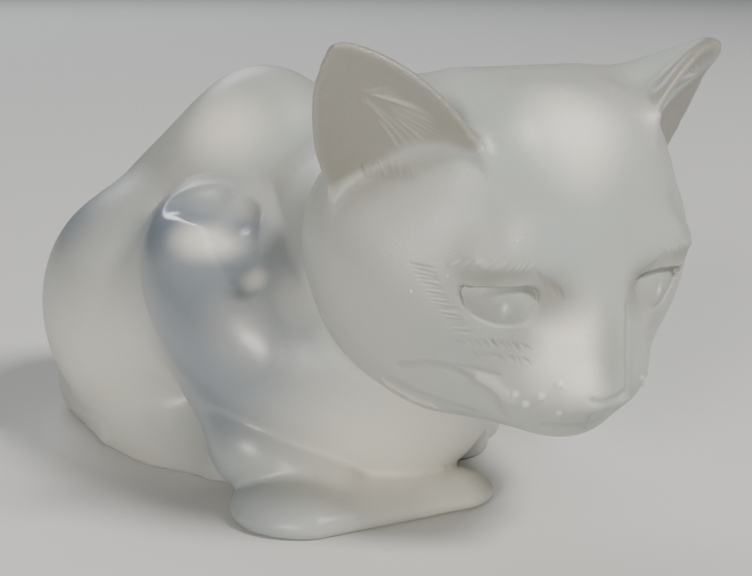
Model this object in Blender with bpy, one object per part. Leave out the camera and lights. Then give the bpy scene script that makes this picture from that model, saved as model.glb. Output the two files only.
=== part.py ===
"""Crouching cat figurine, one solid piece of pressed crystal with a satin finish.

The cat faces -Y and +Z is up.  The animal is laid out in sculpt millimetres as rounded
masses (balls, tapered limbs and blocks) that melt into one another, and it is scaled to its
real length at the end.  The underside is ground flat, which is the only face it rests on.
"""
import math

import bmesh
import bpy
import numpy as np
from mathutils import Matrix, Vector

# ---------------------------------------------------------------- driving dimensions
LENGTH = 0.215             # nose to rump, metres
SCULPT_LENGTH = 210.7      # the same length in sculpt millimetres
GROUND_OFF = 0.4           # thickness ground away under the base, sculpt millimetres
EDGE_ROUND = 1.5           # softness of the edge where the sides meet the base

LIMB_BALLS = 7             # balls that stand for a limb in the rough solid
GRAINS = (1.6, 1.1)        # voxel of each skin, coarse then fine, sculpt millimetres
SETTLE_STEPS = 4           # moves of each point towards the sculpted surface
TRIANGLES = 8600           # target count of the finished solid

SATIN_COLOUR = (0.66, 0.69, 0.67, 1.0)
SATIN_ROUGHNESS = 0.42

HEAD_CENTRE = (-9.6, -62.6, 70.2)
HEAD_PITCH = 18.9          # nose down
HEAD_YAW = -13.0           # turned to the cat's right
HEAD_ROLL = 0.6

# Each ear in the head's frame: middle of its root, the way to its tip, the way its opening
# faces, half width at the root, height.
RIGHT_EAR = ((-36, 1.7, 23.7), (-20.7, 4, 27.7), (-0.554, -0.774, -0.303), 19.0, 38.0)
LEFT_EAR = ((33.6, 1.7, 26), (18.3, 4.3, 22), (0.47, -0.85, -0.2), 22.0, 32.0)
EAR_BULGE = 15.0                   # depth of the ball the ear's back is part of
EAR_WALL = 3.2
EAR_SINK = 2.5                     # how far the ear's outline runs below its root
EAR_SPARE = 0.8                    # the rough leaf is this much larger all round

EYE_MIDDLE = (22.0, 5.0)           # across and up, in the head's frame
EYE_SHIFT = -2.0                   # the pair sits a little towards the cat's right
EYE_HALF = (8.2, 5.9)              # half width and half height of the opening
EYE_SLOPE = -3.0                   # the lid's slant, degrees
LID_LINE = 3.6                     # the straight upper lid, above the middle
EYE_SINK = 1.2                     # depth of the opening along its edge
EYE_DOME = 1.5                     # how far the eyeball stands up inside it

# Each mass: kind, geometry, softness of its blend with what came before, both sides or not.
# ball: centre, radii, tilt about x, turn about z.
# limb: start, end, start radius, end radius, flatness.
# block: centre, half sizes, edge radius, tilt about x.
TRUNK = (
    ("torso", "ball", ((-2, 52.5, 43.5), (41, 49.5, 47.5), 0, 0), 0, False),
    ("back hump", "ball", ((-2, 38.5, 60.5), (31, 33.5, 48.5), 0, 0), 14, False),
    ("haunch", "ball", ((29.5, 59.5, 37.5), (26.5, 37.5, 37.5), 0, -6), 8, True),
    ("foot of haunch", "limb", ((21.5, 95.5, 10.5), (31.5, 39.5, 2), 15, 18, 1), 10, True),
    ("under the knee", "limb", ((-33, 50, 4), (-37, 16, 3), 14, 9, 1), 8, False),
    ("belly", "block", ((0, 52, 8), (38, 46, 9), 8, 0), 8, False),
    ("under the rump", "block", ((0, 87, 7), (22, 15, 9), 5, 0), 6, False),
    ("neck", "limb", ((-4, -5, 62), (-8, -44, 62), 30, 33, 1), 12, False),
)
UPPER_ARM = (
    ("upper arm", "limb", ((37, 43, 52), (45, -6, 15), 11, 10, 1), 0, True),
    ("shoulder blade", "limb", ((-36, 42, 62), (-42, 10, 62), 8, 9, 1), 4, False),
    ("elbow", "limb", ((-45, -4, 15), (-36, -26, 6), 10.5, 8, 1), 5, False),
    ("left elbow", "limb", ((45, -4, 15), (36, -9, 6), 10.5, 9, 1), 6, False),
    ("crest of the blade", "limb", ((-43.5, 28, 65), (-45.5, 3, 62), 6.5, 4.5, 1), 3, False),
)
TAIL = (((27, 96, 9), 10.0), ((1, 101.5, 9), 9.5), ((-20, 98.5, 6.5), 7.5), ((-35, 84, 5), 5.8),
        ((-44.5, 58, 4), 5.0))
BREAST = (
    ("right shoulder", "ball", ((-27, 8, 47), (32.5, 44.5, 27), 38, 0), 0, False),
    ("left shoulder", "ball", ((24, 11, 43), (29, 44, 27.5), 38, 0), 6, False),
    ("chest", "ball", ((-9.5, -20, 35.5), (33, 29.5, 35.5), 0, 0), 8, False),
)
RIGHT_FOREARM = (("right forearm", "limb", ((-43, -22, 3), (-9, -42, 3.5), 19, 11, 0.42), 0, False),)
PAW_DIMPLE = ((-64.5, -28.5, 13.0), (4.0, 5.0, 3.0), 0, -40)
LEFT_FOREARM = (("left forearm", "limb", ((38, 10, 5), (20, -14, 4), 15, 12, 0.62), 0, False),)
BLADE_GROOVE = (((-47, 24, 79.5), 6.5), ((-43.5, 15, 80), 8.5), ((-41, 8, 78), 8.5),
                ((-47.5, -2, 70.5), 7.0), ((-51.5, -8.5, 62), 5.2))
HEAD = (
    ("skull", "ball", ((0.5, 8.5, 2), (51, 39, 31.5), 0, 0), 0, False),
    ("crown", "block", ((0, 4, 16.4), (35, 25, 27.5), 23, 0), 10, False),
    ("cheek", "ball", ((20, 6, -11.5), (25, 30.5, 25), 0, 0), 10, True),
    ("face", "ball", ((0, -10.5, 0.5), (32.5, 20.5, 24), 0, 0), 8, False),
    ("middle of the face", "ball", ((0, -16, -9), (24, 19.5, 18), 0, 0), 10, False),
    ("brow", "ball", ((18, -17.5, 12), (14, 7, 6.5), 0, -28), 8, True),
    ("back of the right ear", "limb", ((-24, 9.5, 32.5), (-49, 12.5, 42), 9.3, 2.4, 1), 8, False),
    ("back of the left ear", "limb", ((24, 11.5, 31), (51, 9.2, 47), 9.2, 2.4, 1), 8, False),
    ("side of the bridge", "block", ((0, -24.4, -4), (11, 8.5, 18), 6, -31), 6, False),
    ("nose bridge", "block", ((0, -25.9, -2.5), (6, 9.5, 22), 2.6, -31), 5, False),
)
BRIDGE_FLANK = ((-9, -25.5, 4), (-6.4, -36.0, -13), 7.0, 5.2, 1)
BRIDGE_SIDE = ((16, -37.5, 2), (15, -41.5, -9), 4.0, 3.0, 1)
EYE_CORNER = ((13.5, -36.5, 6.5), (5.0, 6.5, 5.5), 0, 0)
MUZZLE = (
    ("nose tip", "ball", ((0, -37.6, -14.2), (5.2, 5.5, 4.2), 0, 0), 2.5, False),
    ("muzzle", "ball", ((9.5, -24.5, -18.5), (13.5, 13.5, 11), 0, 0), 7, True),
    ("jaw", "ball", ((0, -9, -20.5), (31, 24, 13.5), 0, 0), 7, False),
    ("chin", "ball", ((0, -29, -25.5), (11, 9, 6.5), 0, 0), 5, False),
    ("jowl", "ball", ((21, -8, -19), (14, 15, 13.5), 0, 0), 7, True),
)


# ---------------------------------------------------------------- fields of distance
def join(a, b, soft):
    """Union of two distance fields, melted together over the given width."""
    if soft <= 0:
        return np.minimum(a, b)
    near = np.maximum(soft - np.abs(a - b), 0.0) / soft
    return np.minimum(a, b) - near * near * soft * 0.25


def keep(a, b, soft):
    """The part common to both fields."""
    return -join(-a, -b, soft)


def turn(axis, degrees):
    """Rotation matrix about x (0), y (1) or z (2)."""
    a = math.radians(degrees)
    m = np.eye(3)
    i, j = (axis + 1) % 3, (axis + 2) % 3
    m[i, i] = m[j, j] = math.cos(a)
    m[i, j] = -math.sin(a)
    m[j, i] = math.sin(a)
    return m


def ball(p, shape):
    centre, radii, tilt, swing = shape
    q = (p - np.array(centre, float)) @ (turn(2, swing) @ turn(0, tilt))
    radii = np.array(radii, float)
    near = np.linalg.norm(q / radii, axis=1)
    steep = np.linalg.norm(q / (radii * radii), axis=1) + 1e-9
    return near * (near - 1.0) / steep


def limb(p, shape):
    start, end, r_start, r_end, flat = shape
    squash = np.array((1.0, 1.0, 1.0 / flat))
    a = np.array(start, float)
    q = (p - a) * squash
    along = (np.array(end, float) - a) * squash
    t = np.clip(q @ along / (along @ along), 0.0, 1.0)
    gap = np.linalg.norm(q - t[:, None] * along, axis=1)
    return (gap - (r_start + (r_end - r_start) * t)) * flat


def block(p, shape):
    centre, half, radius, tilt = shape
    q = (p - np.array(centre, float)) @ turn(0, tilt)
    a = np.abs(q) - (np.array(half, float) - radius)
    outside = np.linalg.norm(np.maximum(a, 0.0), axis=1)
    return outside + np.minimum(a.max(axis=1), 0.0) - radius


KINDS = {"ball": ball, "limb": limb, "block": block}
FLIP = np.array((-1.0, 1.0, 1.0))


def both_sides(field, p, soft):
    return join(field(p), field(p * FLIP), soft)


def masses(p, forms, side_soft, total=None):
    """Blend a list of masses in order."""
    for _, kind, shape, soft, paired in forms:
        def field(q, kind=kind, shape=shape):
            return KINDS[kind](q, shape)
        d = both_sides(field, p, side_soft) if paired else field(p)
        total = d if total is None else join(total, d, soft)
    return total


def chain(p, knots, soft):
    """A run of limbs through points that each carry a radius."""
    total = None
    for (a, ra), (b, rb) in zip(knots[:-1], knots[1:]):
        d = limb(p, (a, b, ra, rb, 1))
        total = d if total is None else join(total, d, soft)
    return total


# ---------------------------------------------------------------- ears
def ear_axes(ear):
    """Root point and the across, up and forward directions of an ear."""
    root, up, front = (np.array(v, float) for v in ear[:3])
    up /= np.linalg.norm(up)
    front -= front @ up * up
    front /= np.linalg.norm(front)
    return root, np.stack((np.cross(up, front), up, front), axis=1)


def ear_arch(ear):
    """Offset and radius of the two arcs that make the pointed outline."""
    width, height = ear[3:]
    offset = (height ** 2 - width ** 2) / (2.0 * width)
    return offset, offset + width


def ear_field(p, ear):
    """A cupped leaf with a pointed-arch outline."""
    root, axes = ear_axes(ear)
    q = (p - root) @ axes
    offset, radius = ear_arch(ear)
    arcs = [np.hypot(q[:, 0] - s * offset, q[:, 1]) - radius for s in (1, -1)]
    outline = keep(keep(arcs[0], arcs[1], 2.5), -(q[:, 1] + EAR_SINK), 5.0)
    radii = (1.25 * ear[3], 1.35 * ear[4], EAR_BULGE)
    middle = 0.6 * EAR_BULGE
    back = ball(q, ((0, 0, middle), radii, 0, 0))
    cup = ball(q, ((0, 1, middle + EAR_WALL), radii, 0, 0))
    return keep(keep(outline, back, 2.4), -cup, 1.8)


# ---------------------------------------------------------------- eyes
def eye_place(q):
    """Across and up from the middle of the nearer eye, along its lid."""
    a = np.abs(q[:, 0] - EYE_SHIFT) - EYE_MIDDLE[0]
    b = q[:, 2] - EYE_MIDDLE[1]
    c, s = math.cos(math.radians(EYE_SLOPE)), math.sin(math.radians(EYE_SLOPE))
    return a * c + b * s, b * c - a * s


def eye_opening(u, v):
    """Oval cut straight by the upper lid."""
    disc = (np.hypot(u / EYE_HALF[0], v / EYE_HALF[1]) - 1.0) * EYE_HALF[1]
    return keep(disc, v - LID_LINE + 0.01 * u * u, 1.6)


def eye_depth(u, v):
    """How far the eyeball lies under the skin: deep along the lids, domed, with a slit pupil."""
    dome = np.hypot(u / 8.8, (v + 1.0) / 6.2)
    slit = 0.45 * np.exp(-((u + 0.3) ** 2 / 0.7 + (v + 1.2) ** 2 / 6.0))
    lid = 0.2 * np.clip(v + 1.0, 0.0, 9.0)
    return EYE_SINK - EYE_DOME * np.clip(1.0 - dome * dome, 0.0, 1.0) + lid + slit


def open_eyes(q, skin):
    u, v = eye_place(q)
    floor = skin + eye_depth(u, v)
    front = np.where(q[:, 1] < 0.0, eye_opening(u, v), 9.0)
    return keep(skin, join(-front, floor, 0.8), 0.5)


# ---------------------------------------------------------------- the whole animal
def head_axes():
    return turn(2, HEAD_YAW) @ turn(0, HEAD_PITCH) @ turn(1, HEAD_ROLL)


def in_head(p):
    return (p - np.array(HEAD_CENTRE)) @ head_axes()


def head_field(p):
    q = in_head(p)
    d = masses(q, HEAD, 6.0)
    d = join(d, limb(q, BRIDGE_FLANK), 3.0)
    d = keep(d, -both_sides(lambda r: limb(r, BRIDGE_SIDE), q, 1.0), 3.5)
    d = keep(d, -both_sides(lambda r: ball(r, EYE_CORNER), q, 1.0), 5.0)
    d = masses(q, MUZZLE, 6.0, d)
    d = open_eyes(q, d)
    d = join(d, ear_field(q, RIGHT_EAR), 4.0)
    return join(d, ear_field(q, LEFT_EAR), 6.0)


def body_field(p):
    d = masses(p, TRUNK, 4.0)
    d = join(d, masses(p, UPPER_ARM, 4.0), 5.0)
    d = join(d, masses(p, BREAST, 4.0), 2.0)
    d = keep(d, -chain(p, BLADE_GROOVE, 2.0), 1.6)
    d = join(d, chain(p, TAIL, 1.0), 2.0)
    d = join(d, masses(p, RIGHT_FOREARM, 4.0), 2.0)
    d = keep(d, -ball(p, PAW_DIMPLE), 1.0)
    return join(d, masses(p, LEFT_FOREARM, 4.0), 4.0)


def cat_field(p):
    d = join(body_field(p), head_field(p), 2.5)
    return keep(d, -p[:, 2], EDGE_ROUND)


# ---------------------------------------------------------------- rough solid
def matrix_of(axes):
    return Matrix([[float(v) for v in row] for row in axes]).to_4x4()


def add_ball(bm, centre, radii, axes):
    made = bmesh.ops.create_icosphere(bm, subdivisions=3, radius=1.0)
    place = Matrix.Translation(centre) @ matrix_of(axes) @ Matrix.Diagonal((*radii, 1.0))
    bmesh.ops.transform(bm, matrix=place, verts=made["verts"])
    return made["verts"]


def add_limb(bm, shape, place):
    """A tapered limb as a row of overlapping balls."""
    start, end, r_start, r_end, flat = shape
    for k in range(LIMB_BALLS):
        t = k / (LIMB_BALLS - 1)
        r = r_start + (r_end - r_start) * t
        centre = Vector(start).lerp(Vector(end), t)
        verts = add_ball(bm, centre, (r, r, r * flat), np.eye(3))
        bmesh.ops.transform(bm, matrix=place, verts=verts)


def add_form(bm, form, place):
    _, kind, shape, _, paired = form
    for side in ((1, -1) if paired else (1,)):
        def flip(v):
            return Vector((v[0] * side, v[1], v[2]))
        if kind == "limb":
            add_limb(bm, (flip(shape[0]), flip(shape[1]), *shape[2:]), place)
            continue
        swing = shape[3] * side if kind == "ball" else 0.0
        tilt = shape[2] if kind == "ball" else shape[3]
        verts = add_ball(bm, flip(shape[0]), shape[1], turn(2, swing) @ turn(0, tilt))
        bmesh.ops.transform(bm, matrix=place, verts=verts)


def add_ear(bm, place, ear):
    """A bent leaf a little larger than the ear, so that it settles inwards."""
    root, axes = ear_axes(ear)
    offset, radius = ear_arch(ear)
    width, height = ear[3:]
    bulk = 0.5 * EAR_WALL + EAR_SPARE
    made = bmesh.ops.create_icosphere(bm, subdivisions=5, radius=1.0)
    for v in made["verts"]:
        girth = max(math.sqrt(max(1.0 - v.co.y ** 2, 0.0)), 0.2)
        t = height * (0.38 + 0.64 * v.co.y)
        s = v.co.x / girth * max(math.sqrt(radius ** 2 - t * t) - offset + EAR_SPARE, EAR_SPARE)
        out = (s / (1.25 * width)) ** 2 + (t / (1.35 * height)) ** 2
        depth = 0.6 * EAR_BULGE - EAR_BULGE * math.sqrt(max(1.0 - out, 0.0))
        thick = math.copysign(abs(v.co.z / girth) ** 0.4, v.co.z)
        depth += 0.5 * EAR_WALL + bulk * thick
        v.co = Vector(root + axes @ np.array((s, t, depth)))
    bmesh.ops.transform(bm, matrix=place, verts=made["verts"])


def rough_mesh():
    """All masses as overlapping closed shells in one mesh."""
    bm = bmesh.new()
    for form in TRUNK + UPPER_ARM + BREAST + RIGHT_FOREARM + LEFT_FOREARM:
        add_form(bm, form, Matrix.Identity(4))
    for (a, ra), (b, rb) in zip(TAIL[:-1], TAIL[1:]):
        add_limb(bm, (a, b, ra, rb, 1), Matrix.Identity(4))
    head = Matrix.Translation(HEAD_CENTRE) @ matrix_of(head_axes())
    for form in HEAD + MUZZLE:
        add_form(bm, form, head)
    for ear in (RIGHT_EAR, LEFT_EAR):
        add_ear(bm, head, ear)
    bmesh.ops.recalc_face_normals(bm, faces=bm.faces)
    mesh = bpy.data.meshes.new("glass_cat")
    bm.to_mesh(mesh)
    bm.free()
    return mesh


# ---------------------------------------------------------------- settling on the surface
def apply_modifiers(obj):
    graph = bpy.context.evaluated_depsgraph_get()
    mesh = bpy.data.meshes.new_from_object(obj.evaluated_get(graph))
    obj.modifiers.clear()
    old = obj.data
    obj.data = mesh
    bpy.data.meshes.remove(old)


def points_of(mesh):
    flat = np.empty(3 * len(mesh.vertices), np.float32)
    mesh.vertices.foreach_get("co", flat)
    return flat.reshape(-1, 3).astype(float)


def put_points(mesh, p):
    mesh.vertices.foreach_set("co", p.astype(np.float32).ravel())
    mesh.update()


def slope(p, here, reach=0.15):
    """Gradient of the sculpted field at every point."""
    g = np.empty_like(p)
    for axis in range(3):
        step = np.zeros(3)
        step[axis] = reach
        g[:, axis] = (cat_field(p + step) - here) / reach
    return g


def settle(mesh):
    p = points_of(mesh)
    for _ in range(SETTLE_STEPS):
        here = cat_field(p)
        g = slope(p, here)
        move = here / np.maximum((g * g).sum(axis=1), 0.05)
        p -= np.clip(move, -2.0, 2.0)[:, None] * g
    put_points(mesh, p)


def reskin(obj, grain):
    mod = obj.modifiers.new("skin", "REMESH")
    mod.mode = "VOXEL"
    mod.voxel_size = grain
    mod.use_smooth_shade = True
    apply_modifiers(obj)


def even_out(obj):
    mod = obj.modifiers.new("even out", "SMOOTH")
    mod.factor = 0.5
    mod.iterations = 2
    apply_modifiers(obj)


def lighten(obj):
    """Bring the surface down to the target number of triangles."""
    faces = sum(len(face.vertices) - 2 for face in obj.data.polygons)
    mod = obj.modifiers.new("lighten", "DECIMATE")
    mod.ratio = min(1.0, TRIANGLES / faces)
    mod.use_collapse_triangulate = True
    apply_modifiers(obj)


def grind_base(mesh):
    """Cut the underside flat and close it with one face."""
    bm = bmesh.new()
    bm.from_mesh(mesh)
    everything = bm.verts[:] + bm.edges[:] + bm.faces[:]
    cut = bmesh.ops.bisect_plane(bm, geom=everything, plane_co=(0, 0, GROUND_OFF),
                                 plane_no=(0, 0, -1), clear_outer=True, dist=1e-4)
    rim = [e for e in cut["geom_cut"] if isinstance(e, bmesh.types.BMEdge)]
    bmesh.ops.holes_fill(bm, edges=rim, sides=0)
    bmesh.ops.triangulate(bm, faces=[f for f in bm.faces if len(f.verts) > 3])
    bmesh.ops.recalc_face_normals(bm, faces=bm.faces)
    bm.to_mesh(mesh)
    bm.free()


def to_real_size(mesh):
    """Scale to metres, with the origin under the middle of the figure."""
    p = points_of(mesh)
    low, high = p.min(axis=0), p.max(axis=0)
    origin = Vector(((low[0] + high[0]) / 2, (low[1] + high[1]) / 2, low[2]))
    unit = LENGTH / SCULPT_LENGTH
    mesh.transform(Matrix.Scale(unit, 4) @ Matrix.Translation(-origin))


def satin_crystal():
    mat = bpy.data.materials.new("satin_crystal")
    mat.use_nodes = True
    shader = mat.node_tree.nodes["Principled BSDF"]
    shader.inputs["Base Color"].default_value = SATIN_COLOUR
    shader.inputs["Roughness"].default_value = SATIN_ROUGHNESS
    shader.inputs["Metallic"].default_value = 0.0
    shader.inputs["IOR"].default_value = 1.54
    shader.inputs["Transmission Weight"].default_value = 0.5
    return mat


def clear_scene():
    for obj in list(bpy.data.objects):
        bpy.data.objects.remove(obj, do_unlink=True)


def build():
    clear_scene()
    cat = bpy.data.objects.new("glass_cat", rough_mesh())
    bpy.context.scene.collection.objects.link(cat)
    for grain in GRAINS:
        reskin(cat, grain)
        settle(cat.data)
    even_out(cat)
    settle(cat.data)
    lighten(cat)
    grind_base(cat.data)
    to_real_size(cat.data)
    cat.data.shade_smooth()
    cat.data.materials.append(satin_crystal())


build()
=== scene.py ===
"""Satin crystal figurine of a crouching cat, as it looks in soft studio light.

The cat is laid out in sculpt millimetres as rounded masses that melt into one another, then
scaled to metres.  It faces -Y, +Z is up, and it stands on z = 0.
"""
import math

import bmesh
import bpy
import numpy as np
from mathutils import Matrix, Vector


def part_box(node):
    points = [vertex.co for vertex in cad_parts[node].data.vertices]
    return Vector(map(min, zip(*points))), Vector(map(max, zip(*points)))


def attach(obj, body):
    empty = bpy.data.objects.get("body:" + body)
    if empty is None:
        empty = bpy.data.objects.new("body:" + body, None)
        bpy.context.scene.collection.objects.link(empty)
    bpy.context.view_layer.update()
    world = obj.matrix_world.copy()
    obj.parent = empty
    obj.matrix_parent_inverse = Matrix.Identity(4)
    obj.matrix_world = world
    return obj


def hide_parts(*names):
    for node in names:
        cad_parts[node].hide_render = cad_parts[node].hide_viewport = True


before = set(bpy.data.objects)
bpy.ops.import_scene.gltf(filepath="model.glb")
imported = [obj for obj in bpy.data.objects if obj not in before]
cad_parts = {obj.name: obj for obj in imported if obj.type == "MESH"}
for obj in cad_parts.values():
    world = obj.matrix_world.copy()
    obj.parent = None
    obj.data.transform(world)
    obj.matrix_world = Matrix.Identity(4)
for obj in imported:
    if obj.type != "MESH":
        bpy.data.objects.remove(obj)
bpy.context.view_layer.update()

# ---------------------------------------------------------------- driving dimensions
LENGTH = 0.215             # nose to rump, metres
SCULPT_LENGTH = 210.7      # the same length in sculpt millimetres
GROUND_OFF = 0.4           # thickness ground away under the base, sculpt millimetres
EDGE_ROUND = 1.5           # softness of the edge where the sides meet the base

LIMB_BALLS = 7             # balls that stand for a limb in the rough solid
GRAINS = (1.4, 0.9)        # voxel of each skin, coarse then fine, sculpt millimetres
SETTLE_STEPS = 4           # moves of each point towards the sculpted surface
SETTLE_MOST = 2.0          # longest single move
SLOPE_REACH = 0.15         # step over which the surface's slope is taken

FINE_BACK = 4.0            # the mesh is finer in front of this depth in the head's frame
FINE_LOW = 24.0            # and above this height
EARS_FROM = (26.0, 12.0)   # the ears lie farther out and higher than this in the head's frame
FINE_REACH = 3.2           # finer still this close to a row of fur,
FINE_EYE = 1.5             # to the edge of an eye,
FINE_BEAD = 2.0            # to a whisker bead,
FINE_FOLD = 1.8            # and to a narrow fold
FINE_FOLDS = slice(1, 3)   # the narrow ones among the folds
STROKE_REACH = 2.5         # how far a stroke may lie off the skin it marks
STROKE_SEED = 7            # of every random draw
STROKE_TAPER = (0.12, 0.88)        # part of half a wave that a stroke's height follows
STROKE_DRIFT = 0.25        # how far a stroke strays from its place in the row
STROKE_STRAY = 0.4         # how far its end strays
STROKE_WIDER = (0.85, 1.2)         # spread of the strokes' widths
STROKE_HIGHER = (0.7, 1.2)         # and of their heights

RIM_BAND = 3.2             # width of the ear's rim that is relaxed
RIM_OUTSIDE = 3.0          # how far outside the ear's outline the rim still counts
RIM_FOOT = 2.0             # the rim starts this far above the ear's root
RIM_DEPTH = 8.0            # and reaches this far before and behind the ear's plane
RIM_PASSES = 4

# Fur strokes of the right side of the head, in its own frame; the left side mirrors them.
# Each row: where the strokes start, where they end, how many, half width, height.
FUR_ROWS = (
    (((-42.4, 7.8, 19.8), (-40.1, 2.4, 21.5), (-37.4, -2.8, 23.6)),
     ((-43.4, 9.3, 22.6), (-39.8, 6.6, 24.0), (-36.7, 1.4, 26.3)), 15, 0.32, -0.35),
    (((-41.0, -13.2, 8.6), (-38.6, -17.1, 4.2), (-35.9, -20.3, 0.4), (-32.6, -23.0, -4.0)),
     ((-37.4, -16.8, 9.0), (-35.4, -20.0, 4.6), (-32.6, -22.9, 0.9), (-29.2, -25.3, -3.4)),
     16, 0.3, -0.28),
    (((-31.6, -23.5, -6.2), (-25.7, -27.7, -4.2), (-18.6, -31.8, -4.4)),
     ((-30.3, -24.6, -7.5), (-24.2, -28.7, -5.8), (-17.3, -32.6, -5.9)), 16, 0.28, -0.24),
    (((-28.0, -26.0, -8.4), (-23.6, -29.0, -7.8), (-18.0, -32.6, -7.6)),
     ((-26.9, -26.7, -9.5), (-22.4, -29.8, -9.1), (-16.8, -33.4, -8.7)), 12, 0.28, -0.22),
    (((-35.0, -19.0, 10.6), (-28.0, -26.6, 12.6), (-20.6, -28.4, 12.6)),
     ((-33.6, -20.6, 12.4), (-26.6, -27.2, 14.6), (-19.2, -28.6, 14.4)), 10, 0.42, 0.35),
    (((-18.4, -28.7, 13.0), (-15.6, -29.6, 11.0), (-11.8, -30.4, 8.6)),
     ((-17.2, -29.2, 9.6), (-13.8, -30.2, 7.4), (-10.0, -30.8, 5.2)), 11, 0.34, -0.16),
    (((-37.4, -8.0, -24.6), (-34.4, -13.6, -25.4), (-30.0, -18.4, -26.0)),
     ((-35.8, -9.6, -27.4), (-32.4, -15.2, -28.0), (-28.2, -19.6, -28.0)), 12, 0.42, 0.4),
)
# Long folds on both sides: the line, half width, height.
CREASES = (
    (((-33.4, -22.4, 9.4), (-27.0, -27.3, 11.2), (-19.5, -29.3, 11.0)), 2.2, -0.45),
    (((-38.6, -14.6, -17.5), (-35.4, -19.3, -14.4), (-31.1, -23.0, -13.6), (-27.1, -26.0, -15.6),
      (-25.2, -27.8, -16.9), (-22.5, -30.7, -18.7), (-19.7, -32.3, -22.9)), 0.9, -0.45),
    (((-31.1, -23.0, -13.6), (-26.6, -26.4, -12.8), (-22.6, -29.6, -12.9)), 0.8, -0.3),
    (((-25.6, -27.3, -15.0), (-23.0, -30.2, -15.7), (-20.2, -33.4, -17.7)), 1.2, 0.35),
    (((-37.0, -12.2, -23.9), (-31.7, -19.4, -24.6), (-24.3, -25.5, -25.2)), 1.4, -0.3),
    (((-25.8, -19.3, 22.4), (-27.9, -24.5, 16.8)), 2.6, -0.3),
)
# Cuts round the nose, one of each.
NOSE_CUTS = (
    (((5.9, -34.4, 4.1), (5.5, -37.9, -3.0), (5.1, -41.5, -10.2), (4.8, -43.0, -13.0)), 0.8, -0.5),
    (((4.8, -43.0, -13.0), (1.5, -44.1, -13.9), (-2.3, -44.3, -14.5), (-5.3, -43.3, -14.3)),
     0.8, -0.6),
    (((0.0, -43.0, -18.6), (0.0, -41.0, -23.5), (0.0, -39.5, -26.0)), 0.7, -0.5),
    (((-11.0, -35.6, -23.4), (-5.0, -38.6, -24.2), (0.0, -39.6, -24.6), (5.0, -38.6, -24.2)),
     0.8, -0.35),
)
WHISKER_BEADS = ((-12.1, -38.7, -11.8), (-15.1, -37.2, -15.5), (-17.6, -35.6, -18.3),
                 (-10.3, -39.3, -19.4), (-19.6, -33.6, -16.4))
BEAD_WIDE = 0.9
BEAD_HIGH = 0.55
STRANDS = 18               # hairs in the cup of each ear
STRAND_WIDE = 0.38
STRAND_HIGH = (0.12, 0.28)
STRAND_START = (0.15, 0.6)         # where along its length a strand begins
CUP_DEPTH = (-12.0, 3.0)           # the cup's skin lies between these depths of the ear
CUP_FACING = 0.2                   # and faces the opening at least this much
FAN_ROOT = (-2.0, 23.0)    # where the ear's hair springs from: across and up in its cup
FAN_TIPS = ((6.1, 21.3), (7.0, 17.0), (9.9, 14.4), (11.4, 11.3), (9.8, 7.8), (6.1, 5.8),
            (0.0, 5.7))

CAMERA_AZIMUTH = -45.0     # seen from the cat's right front
CAMERA_ELEVATION = 13.0
CAMERA_DISTANCE = 410.0    # sculpt millimetres
CAMERA_TARGET = (0.0, -5.0, 50.0)
CAMERA_SENSOR = 36.0       # millimetres
CAMERA_LENS = 70.85        # millimetres
CAMERA_NEAR = 0.01         # metres

# Polished places, which also get a painted dark bluish reflection in their colour: an ellipsoid in
# sculpt millimetres, and how polished its middle is.
POLISHED_WITH_PAINTED_REFLECTION = (
    (((-50, 6, 44), (42, 62, 54)), 0.8),
    (((-50, 22, 70), (22, 34, 22)), 0.9),
    (((-46, 73, 66), (22, 22, 24)), 0.6),
    (((-40, 70, 46), (50, 56, 60)), 0.3),
    (((-45, -22, 2), (40, 30, 20)), 0.6),
    (((-39, 6, 69), (9, 15, 15)), 0.95),
)
# Shaded places of the head: an ellipsoid in its own frame on the right, and how dark.
SHADED = (
    (((-26, -26.5, 11.4), (14, 9, 5.5)), 0.6),
    (((-14.5, -31, 6), (12, 12, 9.5)), 1.0),
    (((-19, -30, -2), (7, 8, 11)), 0.35),
    (((1, -40, -5), (8, 9, 18)), 0.5),
)
SHADE_TINT = (0.33, 0.33, 0.30, 1.0)
RELIEF_SHADE = 0.9         # painted shade in a cut one millimetre deep
RELIEF_SPAN = (-0.3, 0.7)  # from the lightest painted highlight on a ridge to the darkest painted shade in a cut
EYE_FADE = (-0.2, 0.8)     # the eyeball's painted shade begins between these depths inside its edge
EYE_SHADE = 0.55           # painted shade of the eyeball
EYE_TOP_PAINTED_LIGHT = 0.35         # how much lighter its upper part is painted, as if lit from above
EYE_TOP_PAINTED_LIGHT_FROM = (-1.5, 3.0)     # between these heights above its middle
GLINT = 1.2                # strength of the glint in each eye
GLINT_UP = -1.5            # its height above the middle
GLINT_HALF = (0.9, 1.3)    # its half width and half height
EGG_FADE = (0.1, 1.1)      # a painted place fades between these parts of its radii
HEAD_CLEAR = (1.0, 7.0)    # polish and its painted reflection begin between these distances from the head
LEAF_SKIN = (-1.6, -0.4)   # the ear's painted shade begins this near its skin
LEAF_FOOT = (1.4, 3.6)     # and this far above its root
LEAF_OUTSIDE = 2.0         # the painted shade may reach this far outside the ear's outline
SATIN_COOL = (0.44, 0.485, 0.465, 1.0)
SATIN_WARM = (0.49, 0.49, 0.455, 1.0)
# painted dark bluish reflection on the polished places
PAINTED_REFLECTION_TINT = (0.19, 0.23, 0.30, 1.0)
# painted shade on the thin ears, standing for the dark seen through them
EAR_PAINTED_SHADE_TINT = (0.34, 0.33, 0.29, 1.0)
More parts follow.
